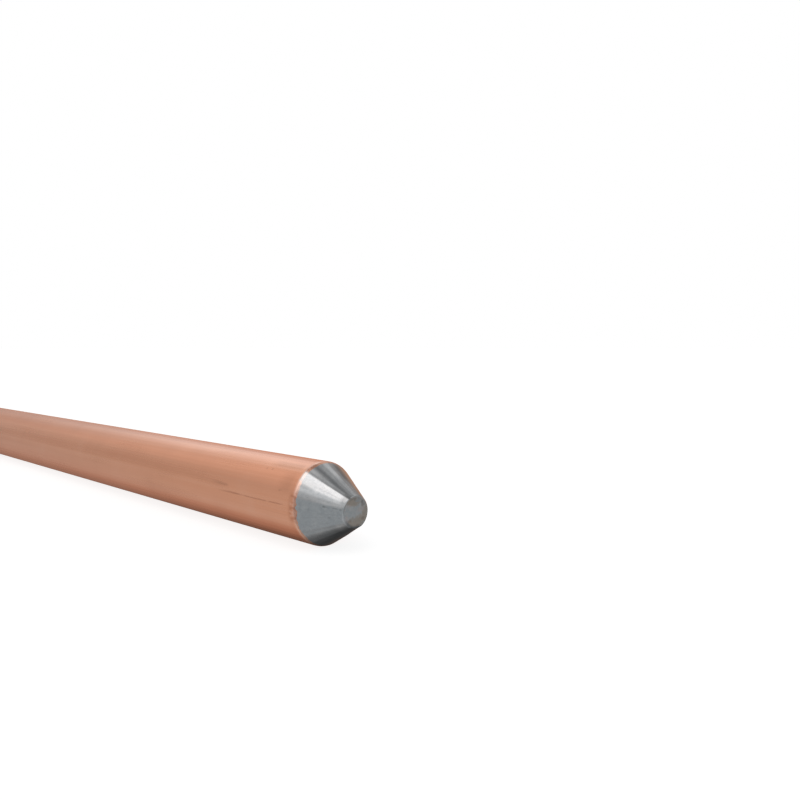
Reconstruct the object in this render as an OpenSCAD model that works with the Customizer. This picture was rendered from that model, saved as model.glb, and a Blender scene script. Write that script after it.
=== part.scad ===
// Copper-bonded earth rod: a drawn steel core with a bonded copper layer,
// turned to a blunt conical point at one end and left plain at the other.
// The rod lies along X, with the centre of its driving face at the origin
// and its point towards +X. All sizes are in millimetres.

/* [Rod] */
// Outside diameter of the rod, over the copper
rod_d = 14.2; // [12.7:0.1:25.4]
// Overall length, from the driving face to the flat of the tip
rod_l = 2440; // [1200:10:3050]
// Thickness of the bonded copper layer
copper_t = 0.254; // [0.1:0.002:0.5]

/* [Point] */
// Included angle of the turned point, in degrees
point_angle = 60; // [40:1:90]
// Diameter of the blunt flat at the tip, measured to the sharp corner
tip_d = 5.5; // [2:0.1:8]
// Radius of the worn edge between the cone and the flat of the tip
tip_round = 0.4; // [0.1:0.05:0.8]

/* [Driving end] */
// Width of the 45 degree chamfer around the driving face
end_chamfer = 1.0; // [0.6:0.1:2]

/* [Hidden] */
$fn = 128;

rod_r = rod_d / 2;
core_r = rod_r - copper_t;
tip_r = tip_d / 2;
half_angle = point_angle / 2;

// Distance from the driving face at which the cone has the radius r
function cone_x(r) = rod_l - (r - tip_r) / tan(half_angle);

// Shoulder, where the cone starts at the outside of the copper
shoulder_x = cone_x(rod_r);
// Seam, where the cone leaves the copper and runs on in bare steel
seam_x = cone_x(core_r);

// Centre of the rounding at the tip's edge, and where it meets the cone
round_r = tip_r - tip_round * (1 - sin(half_angle)) / cos(half_angle);
round_x = rod_l - tip_round;
meet_r = round_r + tip_round * cos(half_angle);
meet_x = round_x + tip_round * sin(half_angle);

// Turns a half section, drawn as [radius, distance along the rod], about X
module turned() {
    rotate([0, 90, 0]) rotate_extrude() children();
}

// Drawn steel core: bare on the driving face, its chamfer and the point
module steel_core() {
    color([0.56, 0.57, 0.58])
    turned() {
        polygon([
            [0, 0],
            [rod_r - end_chamfer, 0],
            [core_r, end_chamfer - copper_t],
            [core_r, seam_x],
            [meet_r, meet_x],
            [round_r, rod_l],
            [0, rod_l]
        ]);
        translate([round_r, round_x]) circle(r = tip_round);
    }
}

// Bonded copper layer: its cut edge follows the chamfer and the cone
module copper_sheath() {
    color([0.80, 0.50, 0.36])
    turned()
        polygon([
            [core_r, end_chamfer - copper_t],
            [rod_r, end_chamfer],
            [rod_r, shoulder_x],
            [core_r, seam_x]
        ]);
}

steel_core();
copper_sheath();
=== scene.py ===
import math
import random

import bpy
import numpy as np
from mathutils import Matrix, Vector


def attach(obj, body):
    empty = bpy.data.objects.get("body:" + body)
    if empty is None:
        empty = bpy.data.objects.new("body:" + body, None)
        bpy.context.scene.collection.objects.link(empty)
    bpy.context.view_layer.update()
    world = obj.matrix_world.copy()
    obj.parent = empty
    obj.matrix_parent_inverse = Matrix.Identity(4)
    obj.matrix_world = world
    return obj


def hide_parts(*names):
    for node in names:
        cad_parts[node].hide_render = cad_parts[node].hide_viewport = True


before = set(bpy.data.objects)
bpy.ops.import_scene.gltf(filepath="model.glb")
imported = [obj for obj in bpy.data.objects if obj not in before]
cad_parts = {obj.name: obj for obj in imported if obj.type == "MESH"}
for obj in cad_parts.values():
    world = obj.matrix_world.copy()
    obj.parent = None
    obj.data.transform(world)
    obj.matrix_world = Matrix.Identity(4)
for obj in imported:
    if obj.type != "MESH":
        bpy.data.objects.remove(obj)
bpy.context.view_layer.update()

# ---------------------------------------------------------------------------
# Sizes in millimetres, as in the part's own frame: the rod lies along X, its
# driving face at x = 0 and its tip at x = LENGTH.
LENGTH = 2440.0
R = 7.1                      # outside of the copper
T = 0.254                    # copper thickness
RC = R - T                   # steel core
TIP_R = 2.75                 # flat of the tip, to the sharp corner
TIP_ROUND = 0.4
CHAMFER = 1.0
TAN = math.tan(math.radians(30.0))
SHOULDER = LENGTH - (R - TIP_R) / TAN
MM = 0.001
# The point was turned slightly off the rod's axis
OFF = np.array([-0.165, -0.343])

N = 360                      # segments round the rod
PHI = np.arange(N) * (2 * math.pi / N)
NY, NZ = np.cos(PHI), np.sin(PHI)


def waves(seed, low, high, count, total):
    """A smooth periodic wobble of the angle: count sines with low to high lobes round the rod."""
    rnd = random.Random(seed)
    terms = [(rnd.randint(low, high), rnd.uniform(0, 2 * math.pi), rnd.uniform(0.5, 1.0)) for _ in range(count)]
    scale = total / sum(a for _, _, a in terms)

    def value(angle):
        return scale * sum(a * np.sin(k * angle + p) for k, p, a in terms)

    return value


cone_facets = waves(11, 9, 40, 11, 0.026)
rim_low = waves(5, 3, 9, 5, 0.030)
rim_fine = waves(6, 24, 70, 9, 0.045)
shaft_low = waves(21, 3, 8, 4, 0.012)
shaft_fine = waves(22, 18, 56, 12, 0.014)
tip_edge = waves(31, 3, 14, 6, 0.07)


def bump_at(angle, degrees, half):
    """1 at that angle, easing to 0 at half degrees to either side of it."""
    d = np.abs((np.degrees(angle) - degrees + 180.0) % 360.0 - 180.0)
    s = np.clip(1.0 - d / half, 0.0, 1.0)
    return s * s * (3 - 2 * s)


def cone_x(y, z):
    """Where the turned cone has the point (y, z) of its section."""
    dy, dz = y - OFF[0], z - OFF[1]
    rho = np.hypot(dy, dz)
    psi = np.arctan2(dz, dy)
    fade = np.clip((rho - TIP_R) / 1.5, 0.0, 1.0)
    return SHOULDER + (R + cone_facets(psi) * fade - rho) / TAN


def mesh_object(name, rings, caps, attribute=None, values=None, closed=False):
    """Lofts rings of N points, closing them with a centre point at each end or on themselves."""
    verts = [np.stack(r, axis=1) for r in rings]
    count = len(verts)
    points = np.concatenate(verts)
    faces = []
    last = count if closed else count - 1
    for i in range(last):
        a, b = i * N, ((i + 1) % count) * N
        for j in range(N):
            k = (j + 1) % N
            faces.append((a + j, a + k, b + k, b + j))
    vals = None if values is None else np.concatenate([v * np.ones(N) for v in values])
    if caps is not None:
        first, final = len(points), len(points) + 1
        points = np.concatenate([points, np.array(caps, float)])
        for j in range(N):
            k = (j + 1) % N
            faces.append((first, k, j))
            faces.append(((count - 1) * N + j, (count - 1) * N + k, final))
        if vals is not None:
            vals = np.concatenate([vals, [np.mean(values[0]), np.mean(values[-1])]])
    mesh = bpy.data.meshes.new(name)
    mesh.from_pydata((points * MM).tolist(), [], faces)
    if vals is not None:
        layer = mesh.attributes.new(attribute, "FLOAT", "POINT")
        layer.data.foreach_set("value", vals.astype(np.float32))
    mesh.validate()
    mesh.update()
    for p in mesh.polygons:
        p.use_smooth = True
    mesh.set_sharp_from_angle(angle=math.radians(24))
    obj = bpy.data.objects.new(name, mesh)
    bpy.context.scene.collection.objects.link(obj)
    return obj


def ring(x, r):
    """A ring about the rod's axis; x and r may change round it."""
    one = np.ones(N)
    return (x * one, r * NY, r * NZ)


# --- where copper and steel meet on the cone -------------------------------
chatter = waves(8, 38, 56, 4, 0.13)
seam_r = RC - 0.02 + rim_low(PHI) + rim_fine(PHI) + bump_at(PHI, 177.0, 26.0) * (0.8 * chatter(PHI) + 0.075)
# a few larger teeth and notches, and slower changes: angle, half width in degrees, depth
for deg, half, deep in ((205.0, 16.0, 0.09), (190.0, 6.0, 0.04), (182.6, 6.0, -0.13), (174.8, 2.8, 0.04), (170.6, 3.4, -0.07),
                        (165.0, 3.4, 0.05), (151.0, 12.0, -0.04), (106.0, 18.0, -0.06)):
    seam_r = seam_r + deep * bump_at(PHI, deg, half)
seam_r = np.minimum(seam_r, R - 0.135)
seam_x = cone_x(seam_r * NY, seam_r * NZ)
edge_x = cone_x(R * NY, R * NZ)          # sharp shoulder, at the outside


# --- copper sheath -----------------------------------------------------------
def shaft_r(x):
    swell = shaft_low(PHI + 0.0011 * x) + shaft_fine(PHI + 0.00002 * x)
    return R - 0.011 + 0.5 * swell


def make_sheath():
    rings, cut = [], []

    def add(r, c=0.0):
        rings.append(r)
        cut.append(c)

    # driving end: inner edge, chamfer, softened outer corner
    add(ring(CHAMFER - T, RC), 1.0)
    add(ring(CHAMFER - T + 0.03, RC + 0.03), 1.0)
    add(ring(CHAMFER - 0.05, R - 0.05), 1.0)
    add(ring(CHAMFER + 0.02, R - 0.014), 0.5)
    add(ring(CHAMFER + 0.12, R - 0.011))
    stations = list(np.arange(6.0, 2250.0, 24.0)) + list(np.arange(2252.0, 2422.0, 3.4))
    for x in stations:
        add(ring(x, shaft_r(x)))
    # the last millimetres lean over to follow the off-centre shoulder
    soft, down = 0.72, 0.22                  # the softened corner: along the shaft, and down the cut face
    for back in (8.5, 7.0, 5.6, 4.4, 3.4, 2.6, 2.0, 1.5, 1.15, 0.95, 0.82):
        lean = min(1.0, max(0.0, 1.0 - (back - 0.8) / 7.0))
        lean = lean * lean * (3 - 2 * lean)
        x = SHOULDER - back + (edge_x - SHOULDER) * lean
        add(ring(x, shaft_r(SHOULDER - back)), 0.0)
    base = shaft_r(SHOULDER)
    corner_r = R - down * 0.5
    steps = 9
    for i in range(steps + 1):
        # quadratic corner from the cylinder to the cut face
        u = i / steps
        by, bz = base * NY, base * NZ
        bx = cone_x(by, bz)
        ay, az, ax = by, bz, bx - soft
        cy, cz = corner_r * NY, corner_r * NZ
        cx = cone_x(cy, cz)
        w0, w1, w2 = (1 - u) ** 2, 2 * u * (1 - u), u * u
        add((w0 * ax + w1 * bx + w2 * cx, w0 * ay + w1 * by + w2 * cy, w0 * az + w1 * bz + w2 * cz), u)
    for u in (0.4, 0.8, 1.0):
        r = corner_r * (1 - u) + seam_r * u
        y, z = r * NY, r * NZ
        add((cone_x(y, z), y, z), 1.0 + u)
    # back along the bore, on the steel
    add(ring(SHOULDER - 3.0, RC), 2.0)
    add(ring(CHAMFER + 3.0, RC), 1.0)
    return mesh_object("sheath", rings, None, "cut", cut, closed=True)


# --- steel core ---------------------------------------------------------------
def make_core():
    rings, flat = [], []

    def add(r, f=0.0):
        rings.append(r)
        flat.append(f)

    rnd = random.Random(44)
    # driving face, sawn: very slightly uneven, then the chamfer
    face_r = R - CHAMFER
    for k in range(1, 13):
        r = face_r * k / 12 - (0.06 if k == 12 else 0.0)
        x = 0.012 + 0.010 * np.sin(PHI * 2 + k * 1.1) * math.sin(k * 2.3)
        add(ring(x if k < 12 else 0.0, r), 1.0)
    add(ring(0.03, face_r), 1.0)
    add(ring(0.09, face_r + 0.055), 1.0)
    add(ring(CHAMFER - T, RC), 1.0)
    add(ring(CHAMFER + 3.0, RC))
    add(ring(SHOULDER - 3.0, RC))
    # cone: from the seam, about the rod's axis, to the tip, about the cone's own
    round_r = TIP_R - TIP_ROUND * (1 - 0.5) / math.cos(math.radians(30))
    meet_r = round_r + TIP_ROUND * math.cos(math.radians(30))
    # the worn edge of the flat: where it starts on the cone, and where it ends on the flat
    outer_r = meet_r + 0.02 + 0.13 * bump_at(PHI, 160.0, 45.0) + 0.4 * tip_edge(PHI)
    inner_r = round_r + 0.02 - 0.34 * bump_at(PHI, 206.0, 46.0) - 0.12 * bump_at(PHI, 262.0, 60.0) + tip_edge(PHI)
    # the point is worn back a little on its lower side
    wear = 0.27 * bump_at(PHI, 258.0, 62.0)
    for t in [0.0, 0.006, 0.02, 0.04] + [0.07 + 0.93 * i / 40 for i in range(41)]:
        y = (1 - t) * seam_r * NY + t * (OFF[0] + outer_r * NY)
        z = (1 - t) * seam_r * NZ + t * (OFF[1] + outer_r * NZ)
        late = max(0.0, (t - 0.45) / 0.55)
        worn = wear * late * late * (3 - 2 * late)
        add((cone_x(y, z), y - worn * NY, z - worn * NZ), 0.0)
    start_x = SHOULDER + (R - outer_r) / TAN
    for i in range(1, 11):
        u = i / 10
        w0, w1, w2 = (1 - u) ** 2, 2 * u * (1 - u), u * u
        r = w0 * outer_r + w1 * TIP_R + w2 * inner_r - wear
        x = w0 * start_x + (w1 + w2) * (LENGTH - 0.004)
        add((x, OFF[0] + r * NY, OFF[1] + r * NZ), u)
    rough = [rnd.uniform(-1, 1) for _ in range(64)]
    for k in range(1, 16):
        s = 1 - k / 16
        r = (inner_r - wear) * s
        y, z = OFF[0] + r * NY, OFF[1] + r * NZ
        dip = 0.012 + 0.010 * np.sin(2.1 * y + 0.7 * z + 0.4) * np.cos(1.3 * z - 0.6 * y) \
            + 0.004 * np.sin(5.3 * y - 3.1 * z) + 0.003 * np.sin(9.0 * z + 2.0 * y + rough[k])
        add((LENGTH - np.maximum(dip, 0.0), y, z), 1.0)
    caps = [(0.012, 0.0, 0.0), (LENGTH - 0.012, OFF[0], OFF[1])]
    return mesh_object("core", rings, caps, "flat", flat)


sheath = make_sheath()
core = make_core()


# --- node helpers ---------------------------------------------------------------
class Graph:
    """Builds a node tree from plain expressions."""

    def __init__(self, tree):
        self.tree = tree
        tree.nodes.clear()

    def node(self, kind, **props):
        n = self.tree.nodes.new(kind)
        for k, v in props.items():
            setattr(n, k, v)
        return n

    def put(self, socket, value):
        if isinstance(value, bpy.types.NodeSocket):
            self.tree.links.new(value, socket)
        else:
            socket.default_value = value

    def math(self, op, *args, clamp=False):
        n = self.node("ShaderNodeMath", operation=op, use_clamp=clamp)
        for i, a in enumerate(args):
            self.put(n.inputs[i], a)
        return n.outputs[0]

    def add(self, a, b):
        return self.math("ADD", a, b)

    def sub(self, a, b):
        return self.math("SUBTRACT", a, b)

    def mul(self, a, b):
        return self.math("MULTIPLY", a, b)

    def smooth(self, x, lo, hi, a=0.0, b=1.0):
        """a below lo, b above hi, eased between them."""
        n = self.node("ShaderNodeMapRange", interpolation_type="SMOOTHSTEP", clamp=True)
        for name, v in (("Value", x), ("From Min", lo), ("From Max", hi), ("To Min", a), ("To Max", b)):
            self.put(n.inputs[name], v)
        return n.outputs["Result"]

    def linear(self, x, lo, hi):
        """0 at lo, 1 at hi, straight between them."""
        n = self.node("ShaderNodeMapRange", interpolation_type="LINEAR", clamp=True)
        for name, v in (("Value", x), ("From Min", lo), ("From Max", hi)):
            self.put(n.inputs[name], v)
        return n.outputs["Result"]

    def scaled(self, colour, factor):
        n = self.node("ShaderNodeVectorMath", operation="SCALE")
        self.put(n.inputs[0], colour)
        self.put(n.inputs["Scale"], factor)
        return n.outputs["Vector"]

    def lobe(self, d, towards, tight, colour):
        """A round soft light in one direction; the larger tight is, the smaller the light."""
        near = self.sub(self.vec("DOT_PRODUCT", d, tuple(Vector(towards).normalized())), 1.0)
        return self.scaled(colour, self.math("EXPONENT", self.mul(near, tight)))

    def window(self, x, a, b, c, d):
        """Rises from a to b, falls from c to d."""
        return self.mul(self.smooth(x, a, b), self.smooth(x, c, d, 1.0, 0.0))

    def ramp(self, x, stops, interpolation="EASE"):
        n = self.node("ShaderNodeValToRGB")
        n.color_ramp.interpolation = interpolation
        el = n.color_ramp.elements
        while len(el) < len(stops):
            el.new(0.5)
        for e, (pos, col) in zip(el, stops):
            e.position = pos
            e.color = (col, col, col, 1) if isinstance(col, (int, float)) else (*col, 1)
        self.put(n.inputs["Fac"], x)
        return n.outputs["Color"]

    def mix(self, fac, a, b, blend="MIX"):
        n = self.node("ShaderNodeMix", data_type="RGBA", blend_type=blend)
        n.clamp_factor = True
        self.put(n.inputs["Factor"], fac)
        self.put(n.inputs["A"], a if isinstance(a, bpy.types.NodeSocket) else (*a, 1))
        self.put(n.inputs["B"], b if isinstance(b, bpy.types.NodeSocket) else (*b, 1))
        return n.outputs["Result"]

    def vec(self, op, a, b=None):
        n = self.node("ShaderNodeVectorMath", operation=op)
        self.put(n.inputs[0], a)
        if b is not None:
            self.put(n.inputs[1], b)
        return n.outputs["Value"] if op in ("DOT_PRODUCT", "LENGTH") else n.outputs["Vector"]

    def noise(self, vector, scale, detail=3.0, rough=0.55, distort=0.0):
        n = self.node("ShaderNodeTexNoise", noise_dimensions="3D")
        self.put(n.inputs["Vector"], vector)
        self.put(n.inputs["Scale"], scale)
        self.put(n.inputs["Detail"], detail)
        self.put(n.inputs["Roughness"], rough)
        self.put(n.inputs["Distortion"], distort)
        return n.outputs["Fac"]

    def attribute(self, name):
        return self.node("ShaderNodeAttribute", attribute_name=name).outputs["Fac"]

    def millimetres(self):
        """The piece's own coordinates, in millimetres."""
        c = self.node("ShaderNodeTexCoord").outputs["Object"]
        return self.vec("MULTIPLY", c, (1000.0, 1000.0, 1000.0))

    def split(self, v):
        n = self.node("ShaderNodeSeparateXYZ")
        self.put(n.inputs[0], v)
        return n.outputs

    def join(self, x, y, z):
        n = self.node("ShaderNodeCombineXYZ")
        for s, v in zip(n.inputs, (x, y, z)):
            self.put(s, v)
        return n.outputs[0]


def principled(name):
    m = bpy.data.materials.new(name)
    m.use_nodes = True
    g = Graph(m.node_tree)
    out = g.node("ShaderNodeOutputMaterial")
    b = g.node("ShaderNodeBsdfPrincipled")
    m.node_tree.links.new(b.outputs[0], out.inputs[0])
    return m, g, b


def round_coords(g):
    p = g.millimetres()
    s = g.split(p)
    return p, s[0], s[1], s[2]


def stretched(g, p, along, across, shift=0.0):
    """Coordinates for a pattern drawn out along the rod."""
    return g.vec("ADD", g.vec("MULTIPLY", p, (along, across, across)), (shift, shift * 0.7, shift * 1.3))


def across(g, y, z, degrees):
    """Distance round the rod from a line at that angle, in millimetres, and how far that line's side is faced."""
    a = math.radians(degrees)
    v = g.add(g.mul(y, -math.sin(a)), g.mul(z, math.cos(a)))
    u = g.add(g.mul(y, math.cos(a)), g.mul(z, math.sin(a)))
    return v, g.smooth(u, 0.0, 3.0)


# --- copper ----------------------------------------------------------------------
def copper_material():
    m, g, b = principled("bonded_copper")
    p, x, y, z = round_coords(g)
    broad = g.noise(stretched(g, p, 0.008, 0.42, 3.0), 1.0, 3.0, 0.5)
    streak = g.noise(stretched(g, p, 0.006, 2.0, 7.0), 1.0, 2.0, 0.5)
    fine = g.noise(stretched(g, p, 0.022, 4.6, 13.0), 1.0, 2.0, 0.5)
    cloud = g.noise(stretched(g, p, 0.045, 0.30, 19.0), 1.0, 1.5, 0.4)

    base = g.mix(g.smooth(broad, 0.30, 0.70), (0.905, 0.400, 0.237), (0.950, 0.450, 0.280))
    base = g.mix(g.mul(g.smooth(streak, 0.50, 0.74), 0.30), base, (0.97, 0.53, 0.37))
    base = g.mix(g.mul(g.smooth(streak, 0.48, 0.26), 0.30), base, (0.80, 0.335, 0.190))
    base = g.mix(g.mul(g.smooth(cloud, 0.48, 0.80), 0.30), base, (0.74, 0.335, 0.205))
    base = g.mix(g.mul(g.smooth(fine, 0.52, 0.76), 0.06), base, (0.60, 0.26, 0.15))
    haze = g.noise(stretched(g, p, 0.12, 0.09, 31.0), 1.0, 2.0, 0.5)
    base = g.mix(g.mul(g.smooth(haze, 0.48, 0.74), 0.22), base, (0.74, 0.335, 0.205))
    base = g.mix(g.mul(g.smooth(haze, 0.46, 0.26), 0.16), base, (0.97, 0.53, 0.37))

    # a long faint rub, a darker smudge at its end and a fine scratch
    v, side = across(g, y, z, 163.0)
    line = g.add(g.smooth(x, 2396.0, 2416.0, -0.28, 0.42), g.mul(g.sub(broad, 0.5), 0.6))
    off = g.math("ABSOLUTE", g.sub(v, line))
    rub = g.mul(g.mul(g.smooth(off, 0.10, 1.15, 1.0, 0.0), side), g.window(x, 2180.0, 2300.0, 2410.5, 2414.6))
    rub = g.mul(rub, g.smooth(cloud, 0.25, 0.62, 0.55, 1.0))
    base = g.mix(g.mul(rub, 0.17), base, (0.56, 0.255, 0.155))
    dash = g.mul(g.mul(g.smooth(off, 0.05, 0.42, 1.0, 0.0), side), g.window(x, 2408.0, 2412.2, 2413.4, 2414.6))
    base = g.mix(g.mul(dash, 0.30), base, (0.40, 0.18, 0.11))
    v2, side2 = across(g, y, z, 175.4)
    wander = g.mul(g.sub(g.noise(stretched(g, p, 0.32, 0.0, 2.0), 1.0, 2.0), 0.5), 0.24)
    off2 = g.math("ABSOLUTE", g.sub(v2, wander))
    width = g.smooth(x, 2415.6, 2420.0, 0.24, 0.16)
    thin = g.smooth(off2, g.mul(width, 0.20), width, 1.0, 0.0)
    broken = g.smooth(g.noise(stretched(g, p, 0.55, 0.0, 5.0), 1.0, 2.0), 0.30, 0.50, 0.25, 1.0)
    scratch = g.mul(g.mul(thin, side2), g.mul(g.window(x, 2410.0, 2416.4, 2428.6, 2430.8), broken))
    base = g.mix(g.mul(scratch, 0.32), base, (0.30, 0.135, 0.09))
    # small spots
    spots = None
    for sx, deg, size in ((2422.6, 130.1, 0.26), (2424.1, 129.5, 0.32), (2428.5, 157.3, 0.26), (2428.9, 156.6, 0.17)):
        sv, ss = across(g, y, z, deg)
        d = g.math("SQRT", g.add(g.math("POWER", g.sub(x, sx), 2.0), g.math("POWER", sv, 2.0)))
        one = g.mul(g.smooth(d, size * 0.2, size, 1.0, 0.0), ss)
        spots = one if spots is None else g.math("MAXIMUM", spots, one)
    base = g.mix(g.mul(spots, 0.34), base, (0.42, 0.20, 0.13))
    freckle = g.smooth(g.noise(stretched(g, p, 0.9, 1.1, 23.0), 1.0, 2.0, 0.6), 0.74, 0.82)
    base = g.mix(g.mul(freckle, 0.08), base, (0.55, 0.26, 0.165))

    def sector(degrees, full, none):
        v, faced = across(g, y, z, degrees)
        return g.mul(g.smooth(g.math("ABSOLUTE", v), full, none, 1.0, 0.0), faced)

    # a little darker over two upper sectors in the last millimetres before the point
    for deg, full, none, start, amount in ((117.5, 0.35, 1.10, 2422.0, 0.17), (143.0, 0.80, 2.40, 2426.6, 0.14)):
        darker_sector = g.mul(sector(deg, full, none), g.window(x, start, start + 3.6, SHOULDER - 2.2, SHOULDER - 0.4))
        base = g.mix(g.mul(darker_sector, amount), base, (0.10, 0.03, 0.01))

    # the turned edge: darker just behind the shoulder, fresh pink metal on the cut
    cut = g.attribute("cut")
    cutmask = g.smooth(cut, 0.12, 0.75)
    inside = g.smooth(cut, 0.95, 1.7)
    chatter = sector(176.0, 1.7, 2.8)
    near = g.window(x, SHOULDER - 1.5, SHOULDER - 0.6, SHOULDER - 0.2, SHOULDER + 0.35)
    base = g.mix(g.mul(near, g.add(0.16, g.mul(chatter, 0.34))), base, (0.70, 0.290, 0.165))
    grain = g.noise(p, 2.4, 3.0, 0.6)
    cut_colour_with_painted_light = g.mix(g.smooth(grain, 0.36, 0.66), (0.935, 0.500, 0.350), (0.965, 0.570, 0.425))
    # painted highlight and painted shade on the cut: paler where the light catches it, almost white at one place, brown
    # above
    pale = g.mix(inside, (0.975, 0.615, 0.495), (0.81, 0.600, 0.525))
    cut_colour_with_painted_light = g.mix(g.mul(sector(151.0, 1.2, 2.1), 0.92), cut_colour_with_painted_light, pale)
    cut_colour_with_painted_light = g.mix(g.mul(sector(130.6, 0.75, 1.40), g.smooth(cut, 0.2, 0.8, 0.40, 0.92)), cut_colour_with_painted_light, (0.72, 0.68, 0.66))
    # painted shade: the cut is browner in the sector above the highlight
    brown = sector(112.3, 0.75, 1.45)
    cut_colour_with_painted_light = g.mix(g.mul(brown, 0.80), cut_colour_with_painted_light, (0.70, 0.345, 0.23))
    cut_colour_with_painted_light = g.mix(g.mul(chatter, 0.75), cut_colour_with_painted_light, (0.84, 0.420, 0.300))
    # the painted shade of that upper sector reaches over the corner onto the shaft
    base = g.mix(g.mul(g.mul(brown, g.smooth(cut, 0.0, 0.30)), 0.60), base, (0.62, 0.30, 0.20))
    base = g.mix(cutmask, base, cut_colour_with_painted_light)
    # where the tool chattered the edge has short reddish ticks across it
    turn = math.radians(11.0)
    ty = g.sub(g.mul(y, math.cos(turn)), g.mul(z, math.sin(turn)))
    tz = g.add(g.mul(y, math.sin(turn)), g.mul(z, math.cos(turn)))
    ticks = g.noise(g.join(g.mul(x, 0.6), g.mul(ty, 1.5), g.mul(tz, 1.5)), 1.0, 1.0, 0.4)
    band = g.mul(chatter, g.smooth(x, SHOULDER - 0.95, SHOULDER - 0.45))
    base = g.mix(g.mul(g.mul(band, g.smooth(ticks, 0.52, 0.38)), 0.50), base, (0.56, 0.215, 0.125))
    base = g.mix(g.mul(g.mul(band, g.smooth(ticks, 0.52, 0.64)), 0.45), base, (0.94, 0.52, 0.39))
    g.put(b.inputs["Base Color"], base)
    b.inputs["Metallic"].default_value = 1.0
    b.inputs["Specular Tint"].default_value = (0.95, 0.92, 0.90, 1.0)

    rough = g.add(0.235, g.mul(g.sub(streak, 0.5), 0.20))
    rough = g.add(rough, g.mul(g.smooth(cloud, 0.50, 0.80), 0.08))
    rough = g.add(rough, g.mul(rub, 0.08))
    rough = g.add(rough, g.mul(scratch, 0.20))
    rough = g.math("MAXIMUM", rough, g.mul(cutmask, 0.26))
    g.put(b.inputs["Roughness"], rough)

    height = g.add(g.mul(fine, 0.08), g.mul(streak, 0.7))
    height = g.sub(height, g.mul(scratch, 1.2))
    bump = g.node("ShaderNodeBump")
    bump.inputs["Strength"].default_value = 0.6
    bump.inputs["Distance"].default_value = 0.000012
    g.put(bump.inputs["Height"], height)
    g.put(b.inputs["Normal"], bump.outputs[0])
    return m


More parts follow.
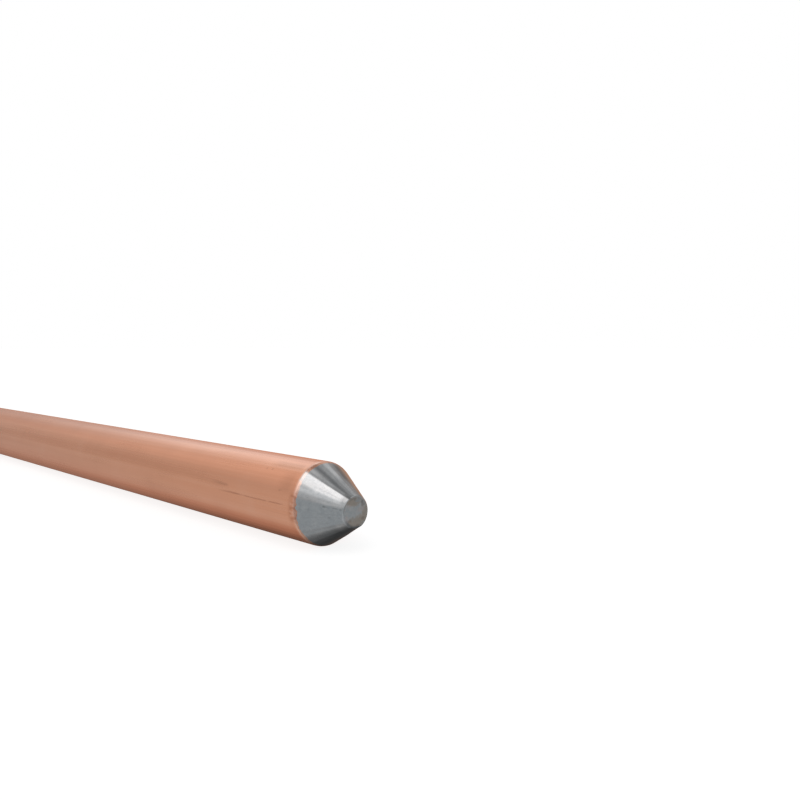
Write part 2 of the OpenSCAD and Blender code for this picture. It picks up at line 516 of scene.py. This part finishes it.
# --- steel -----------------------------------------------------------------------
def steel_material():
    m, g, b = principled("turned_steel")
    p, x, y, z = round_coords(g)
    cy, cz = g.sub(y, float(OFF[0])), g.sub(z, float(OFF[1]))
    # coordinates that run along the cone's rulings: angle as a unit circle, distance to the tip
    radius = g.math("SQRT", g.add(g.mul(cy, cy), g.mul(cz, cz)))
    ca, sa = g.math("DIVIDE", cy, g.add(radius, 0.02)), g.math("DIVIDE", cz, g.add(radius, 0.02))
    along = g.sub(x, SHOULDER)
    ruled = g.join(g.mul(along, 0.06), g.mul(ca, 6.0), g.mul(sa, 6.0))
    ruled_fine = g.join(g.mul(along, 0.25), g.mul(ca, 26.0), g.mul(sa, 26.0))
    streak = g.noise(ruled, 1.0, 3.0, 0.6)
    fine = g.noise(ruled_fine, 1.0, 3.0, 0.6)
    mottle = g.noise(p, 0.9, 4.0, 0.6)
    grain = g.noise(p, 7.0, 3.0, 0.6)
    speck = g.noise(p, 2.6, 2.0, 0.5)

    base = g.mix(g.smooth(mottle, 0.35, 0.70), (0.54, 0.555, 0.57), (0.61, 0.615, 0.62))
    base = g.mix(g.mul(g.smooth(streak, 0.48, 0.25), 0.35), base, (0.43, 0.43, 0.43))
    base = g.mix(g.mul(g.smooth(fine, 0.55, 0.75), 0.20), base, (0.47, 0.47, 0.47))
    base = g.mix(g.mul(g.smooth(speck, 0.70, 0.78), 0.45), base, (0.24, 0.235, 0.23))

    # small dark marks on the cone; the last two are painted shade that dims the highlight just before the tip's edge:
    # distance from the shoulder, angle, size along and across the ruling
    for far, deg, long, wide, much in ((2.48, 173.0, 0.30, 0.50, 0.16), (4.65, 163.7, 0.42, 0.24, 0.56), (5.05, 163.5, 0.30, 0.16, 0.20),
                                       (6.25, 162.7, 0.60, 0.20, 0.34), (7.10, 163.0, 0.30, 0.30, 0.30), (5.50, 186.4, 0.36, 0.28, 0.33),
                                       (5.10, 198.0, 0.30, 0.40, 0.10), (4.40, 152.0, 0.14, 0.12, 0.20), (7.00, 142.5, 0.28, 0.42, 0.14),
                                       (7.02, 131.0, 0.75, 1.35, 0.56)):
        a = math.radians(deg)
        r0 = R - far * TAN
        sv = g.add(g.mul(g.sub(cy, r0 * math.cos(a)), -math.sin(a)), g.mul(g.sub(cz, r0 * math.sin(a)), math.cos(a)))
        su = g.add(g.mul(cy, math.cos(a)), g.mul(cz, math.sin(a)))
        dist = g.math("SQRT", g.add(g.math("POWER", g.mul(g.sub(along, far), 1.0 / long), 2.0),
                                    g.math("POWER", g.mul(sv, 1.0 / wide), 2.0)))
        one = g.mul(g.smooth(dist, 0.15, 1.0, 1.0, 0.0), g.smooth(su, 0.0, 1.0))
        base = g.mix(g.mul(one, much), base, (0.20, 0.205, 0.21))
    dapple = g.noise(p, 2.3, 2.0, 0.5)
    base = g.mix(g.mul(g.smooth(dapple, 0.42, 0.70), 0.10), base, (0.80, 0.80, 0.80))
    base = g.mix(g.mul(g.smooth(dapple, 0.52, 0.28), 0.08), base, (0.25, 0.25, 0.25))

    # lighter and darker streaks along the rulings, partly tool streaks and partly painted reflections of light and dark
    # bands: angle, half width in degrees, from and to past the shoulder, how strong
    for deg, half, start, stop, much in ((71.0, 10.0, 0.2, 4.6, -0.36), (88.0, 6.0, 0.0, 3.4, 0.22), (88.0, 8.0, 3.8, 8.0, -0.17),
                                         (109.0, 4.2, 3.4, 8.0, -0.17), (98.0, 4.0, 3.6, 8.0, -0.12), (105.6, 2.8, 0.0, 5.4, -0.14),
                                         (113.0, 7.0, -0.6, 1.9, 0.42), (140.5, 5.0, -0.2, 2.3, -0.22), (153.0, 4.0, 3.6, 8.0, 0.10),
                                         (156.8, 3.6, -0.2, 4.2, -0.13), (115.0, 5.5, 4.4, 9.0, -0.17), (115.5, 6.0, 6.5, 9.0, -0.32),
                                         (228.0, 24.0, 6.1, 9.0, 0.88)):
        a = math.radians(deg)
        turn = g.math("ABSOLUTE", g.add(g.mul(ca, -math.sin(a)), g.mul(sa, math.cos(a))))
        mask = g.mul(g.smooth(turn, math.sin(math.radians(half * 0.25)), math.sin(math.radians(half)), 1.0, 0.0),
                     g.smooth(g.add(g.mul(ca, math.cos(a)), g.mul(sa, math.sin(a))), 0.0, 0.5))
        mask = g.mul(mask, g.window(along, start - 0.6, start + 0.6, stop - 1.4, stop + 0.6))
        base = g.mix(g.mul(mask, abs(much)), base, (0.0, 0.0, 0.0) if much < 0 else (1.0, 1.0, 1.0))

    flat = g.attribute("flat")
    tip = g.mul(g.smooth(flat, 0.45, 0.95), g.smooth(x, 2400.0, 2401.0))
    # the flat: bluish grey, stained brown above, to the right and below, with a few dark specks
    scale = g.noise(g.vec("ADD", p, (3.0, 1.0, 5.0)), 1.5, 4.0, 0.60)
    worn = g.mix(g.smooth(scale, 0.36, 0.64), (0.435, 0.485, 0.505), (0.480, 0.518, 0.532))
    brown, rust, dark = (0.396, 0.368, 0.324), (0.305, 0.270, 0.232), (0.255, 0.268, 0.268)
    blue, pale = (0.361, 0.406, 0.438), (0.505, 0.482, 0.483)
    for py, pz, wide, high, much, colour in ((-0.50, 1.85, 1.75, 0.72, 0.95, brown), (0.15, -1.50, 2.10, 0.92, 0.88, brown),
                                             (2.25, -0.30, 0.85, 1.70, 0.85, brown), (1.45, -1.00, 1.05, 0.80, 0.70, brown),
                                             (-2.05, -0.95, 0.55, 0.80, 0.65, pale), (0.55, 1.95, 0.50, 0.32, 0.75, blue),
                                             (1.15, 0.45, 0.75, 0.42, 0.65, pale), (-1.60, 1.22, 0.60, 0.24, 0.50, pale),
                                             (1.52, 1.12, 0.34, 0.36, 0.60, rust), (1.43, 1.60, 0.28, 0.24, 0.90, dark),
                                             (-1.35, -1.15, 0.46, 0.30, 0.50, rust), (1.55, -1.10, 0.40, 0.28, 0.75, rust),
                                             (-0.20, 2.20, 0.25, 0.20, 0.50, dark), (1.75, 1.45, 0.60, 0.50, 0.46, dark),
                                             (0.35, -2.00, 0.28, 0.16, 0.40, rust)):
        d = g.math("SQRT", g.add(g.math("POWER", g.mul(g.sub(cy, py), 1.0 / wide), 2.0),
                                 g.math("POWER", g.mul(g.sub(cz, pz), 1.0 / high), 2.0)))
        d = g.add(d, g.mul(g.sub(scale, 0.5), 1.7))
        worn = g.mix(g.mul(g.smooth(d, 0.55, 1.25, 1.0, 0.0), much), worn, colour)
    worn = g.mix(g.mul(g.smooth(g.noise(p, 3.1, 3.0, 0.6), 0.50, 0.72), 0.22), worn, (0.30, 0.29, 0.275))
    base = g.mix(tip, base, worn)
    # a thin dark line, broken, along the upper left of its edge
    edge = g.mul(g.window(flat, 0.50, 0.72, 0.80, 0.97), g.smooth(x, 2400.0, 2401.0))
    edge = g.mul(edge, g.mul(g.smooth(g.sub(g.mul(ca, -0.75), g.mul(sa, -0.66)), 0.55, 0.95), g.smooth(scale, 0.36, 0.56)))
    base = g.mix(g.mul(edge, 0.45), base, (0.17, 0.155, 0.145))
    # painted shade: the rim of the flat is darker at the bottom, and a little at the top
    for deg, none, full, inner, outer, much in ((250.0, 0.60, 0.90, 1.90, 2.40, 0.72), (92.0, 0.80, 0.96, 2.15, 2.45, 0.26)):
        a = math.radians(deg)
        rim_shade = g.mul(g.smooth(g.add(g.mul(ca, math.cos(a)), g.mul(sa, math.sin(a))), none, full), g.smooth(radius, inner, outer))
        rim_shade = g.mul(g.mul(rim_shade, g.smooth(flat, 0.10, 0.60)), g.smooth(x, 2400.0, 2401.0))
        base = g.mix(g.mul(rim_shade, much), base, (0.10, 0.10, 0.105))
    end = g.mul(g.smooth(flat, 0.5, 0.9), g.smooth(x, 2.0, 3.0, 1.0, 0.0))
    saw = g.noise(g.vec("MULTIPLY", p, (1.0, 0.35, 7.0)), 1.0, 3.0, 0.6)
    base = g.mix(end, base, g.mix(g.smooth(saw, 0.35, 0.65), (0.42, 0.415, 0.41), (0.58, 0.58, 0.58)))
    g.put(b.inputs["Base Color"], base)
    b.inputs["Metallic"].default_value = 1.0
    b.inputs["Specular Tint"].default_value = (0.84, 0.82, 0.81, 1.0)

    rough = g.add(0.145, g.mul(g.sub(streak, 0.5), 0.12))
    rough = g.add(rough, g.mul(g.sub(grain, 0.5), 0.08))
    rough = g.add(rough, g.mul(tip, 0.20))
    rough = g.add(rough, g.mul(end, 0.55))
    g.put(b.inputs["Roughness"], rough)

    height = g.add(g.add(g.mul(fine, 0.55), g.mul(streak, 1.6)), g.add(g.mul(mottle, 2.4), g.mul(grain, 0.30)))
    height = g.add(height, g.mul(g.mul(tip, g.noise(p, 2.2, 4.0, 0.65)), 3.0))
    height = g.add(height, g.mul(g.mul(end, saw), 2.5))
    height = g.sub(height, g.mul(g.smooth(speck, 0.70, 0.78), 1.2))
    bump = g.node("ShaderNodeBump")
    bump.inputs["Strength"].default_value = 0.5
    bump.inputs["Distance"].default_value = 0.000010
    g.put(bump.inputs["Height"], height)
    g.put(b.inputs["Normal"], bump.outputs[0])
    return m


sheath.data.materials.append(copper_material())
core.data.materials.append(steel_material())
for piece, node, slot in ((sheath, "copper_sheath", "copper"), (core, "steel_core", "bare_steel")):
    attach(piece, "root")
    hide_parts(node)


# --- floor --------------------------------------------------------------------------
def make_floor():
    s, h = 40.0, -R * MM
    mesh = bpy.data.meshes.new("floor")
    mesh.from_pydata([(-s, -s, h), (s, -s, h), (s, s, h), (-s, s, h)], [], [(0, 1, 2, 3)])
    floor = bpy.data.objects.new("floor", mesh)
    bpy.context.scene.collection.objects.link(floor)
    m = bpy.data.materials.new("pale_floor")
    m.use_nodes = True
    g = Graph(m.node_tree)
    out = g.node("ShaderNodeOutputMaterial")
    d = g.node("ShaderNodeBsdfDiffuse")
    d.inputs["Color"].default_value = (0.30, 0.30, 0.30, 1)
    e = g.node("ShaderNodeEmission")
    e.inputs["Color"].default_value = (1, 1, 1, 1)
    e.inputs["Strength"].default_value = 0.84
    a = g.node("ShaderNodeAddShader")
    m.node_tree.links.new(d.outputs[0], a.inputs[0])
    m.node_tree.links.new(e.outputs[0], a.inputs[1])
    m.node_tree.links.new(a.outputs[0], out.inputs[0])
    floor.data.materials.append(m)
    floor.visible_glossy = False


make_floor()


# --- studio light ---------------------------------------------------------------------
def make_world():
    w = bpy.data.worlds.new("studio")
    bpy.context.scene.world = w
    w.use_nodes = True
    g = Graph(w.node_tree)
    out = g.node("ShaderNodeOutputWorld")
    d = g.node("ShaderNodeTexCoord").outputs["Generated"]
    x, y, z = g.split(d)
    # a soft box overhead in front, with a clean back edge, fading down to the front
    front = g.ramp(z, [(0.0, (0.390, 0.412, 0.422)), (0.31, (0.380, 0.400, 0.410)), (0.37, (0.440, 0.452, 0.460)),
                       (0.45, 0.51), (0.60, 0.67), (0.73, 0.86), (0.80, 0.98), (0.85, (1.16, 1.14, 1.13)),
                       (0.90, (1.52, 1.47, 1.45)), (1.0, (1.58, 1.53, 1.50))], "LINEAR")
    back = g.ramp(z, [(0.0, (0.36, 0.20, 0.135)), (0.12, (0.31, 0.22, 0.18)), (0.24, (0.29, 0.26, 0.24)), (0.36, 0.26), (0.485, 0.345), (0.60, 0.47),
                      (0.71, 0.62), (0.82, 0.46), (0.90, 0.36), (0.94, 0.255), (0.965, 0.34), (1.0, 0.48)], "LINEAR")
    upper = g.mix(g.smooth(y, -0.17, 0.03), front, back)
    # below: lit ground in front and to the left, dark ground underneath and behind
    t = g.sub(g.mul(y, -1.0), g.mul(g.math("MINIMUM", x, 0.05), 0.65))
    stops = [(-0.25, 0.030), (-0.15, 0.036), (-0.08, 0.054), (0.016, 0.078), (0.12, 0.128), (0.228, 0.19),
             (0.351, 0.295), (0.46, (0.355, 0.368, 0.375)), (0.566, (0.380, 0.398, 0.408)), (1.1, (0.390, 0.412, 0.422))]
    low = g.ramp(g.linear(t, -0.25, 1.1), [((a + 0.25) / 1.35, v) for a, v in stops], "LINEAR")
    height = g.add(z, g.smooth(y, 0.0, 0.6, 0.0, 0.10))
    # a warm tint low at the left, behind
    warm = g.mul(g.smooth(x, -0.78, -0.50, 1.0, 0.0), g.smooth(y, -0.38, 0.05))
    low = g.mix(warm, low, g.mix(1.0, low, (1.04, 0.74, 0.60), "MULTIPLY"))
    sky = g.mix(g.smooth(height, -0.05, 0.05), low, upper)
    # the left side is a little brighter near the horizon
    left = g.mul(g.smooth(x, -0.70, -0.20, 1.0, 0.0), g.smooth(t, 0.45, 0.85))
    left = g.mul(left, g.smooth(z, 0.20, 0.65, 0.42, 0.0))
    left = g.mul(g.add(left, 1.0), g.smooth(x, -0.96, -0.84, 0.86, 1.0))
    total = g.scaled(sky, left)
    # soft lights: two cool ones at the back left, two at the front left with a darker place beside them,
    # warm and low behind, low ones at the right and the back, faint ones underneath
    for towards, tight, colour in (((-0.739, 0.376, 0.559), 22.0, (0.67, 0.89, 1.04)),
                                   ((-0.696, 0.370, 0.616), 40.0, (0.00, 0.12, 0.26)),
                                   ((-0.927, 0.030, 0.375), 26.0, (0.225, 0.215, 0.205)),
                                   ((-0.350, -0.740, 0.575), 22.0, (0.24, 0.23, 0.22)),
                                   ((-0.790, -0.360, 0.500), 16.0, (-0.06, -0.06, -0.06)),
                                   ((-0.460, -0.370, -0.810), 30.0, (0.09, 0.085, 0.08)),
                                   ((-0.740, 0.667, 0.087), 12.0, (0.29, 0.12, 0.04)),
                                   ((0.704, 0.673, -0.227), 4.0, (0.41, 0.42, 0.43)),
                                   ((0.850, -0.100, -0.520), 9.0, (0.30, 0.305, 0.31)),
                                   ((-0.220, 0.950, -0.230), 14.0, (0.20, 0.18, 0.17)),
                                   ((0.100, -0.170, -0.980), 90.0, (0.065, 0.065, 0.065)),
                                   ((0.000, 0.060, -0.998), 90.0, (0.055, 0.055, 0.055))):
        total = g.vec("ADD", total, g.lobe(d, towards, tight, colour))
    seen = g.node("ShaderNodeLightPath").outputs["Is Camera Ray"]
    bg = g.node("ShaderNodeBackground")
    g.put(bg.inputs["Color"], g.mix(seen, total, (1.0, 1.0, 1.0)))
    w.node_tree.links.new(bg.outputs[0], out.inputs[0])


make_world()

# --- camera -------------------------------------------------------------------------------
cam_data = bpy.data.cameras.new("camera")
cam_data.sensor_width = 36.0
cam_data.lens = 31.5
cam_data.clip_start = 0.005
cam_data.clip_end = 200.0
cam = bpy.data.objects.new("camera", cam_data)
cam.location = (2.520447, -0.076858, 0.025929)
cam.rotation_euler = (math.radians(90.0 - 4.1708), 0.0, math.radians(42.6998))
bpy.context.scene.collection.objects.link(cam)
bpy.context.scene.camera = cam
bpy.context.scene.view_settings.view_transform = "Standard"
bpy.context.scene.view_settings.look = "None"
